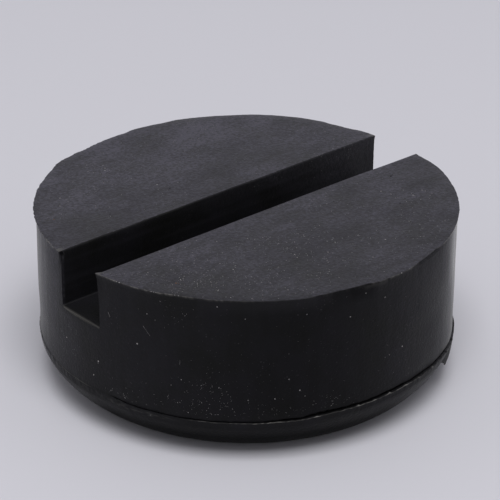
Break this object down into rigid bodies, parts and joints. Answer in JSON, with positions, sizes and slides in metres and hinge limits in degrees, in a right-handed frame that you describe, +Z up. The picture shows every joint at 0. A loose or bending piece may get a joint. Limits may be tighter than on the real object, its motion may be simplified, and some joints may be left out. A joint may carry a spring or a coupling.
{
  "type": "rubber jack pad",
  "caption": "Round moulded rubber pad with a straight slot across its top, laid on a jack's saddle so that a sill's seam sits in the slot.",
  "frame": {"origin": "centre of the foot, on the floor under the rim", "axes": "+Z up out of the slotted top face; X along the slot; Y across it"},
  "size_m": [0.0606, 0.061, 0.0254],
  "materials": {
    "rubber": "matte moulded black rubber with dust, trimmed edges and a torn bit of flash"
  },
  "bodies": {
    "root": {"pad": "rubber"}
  },
  "joints": []
}
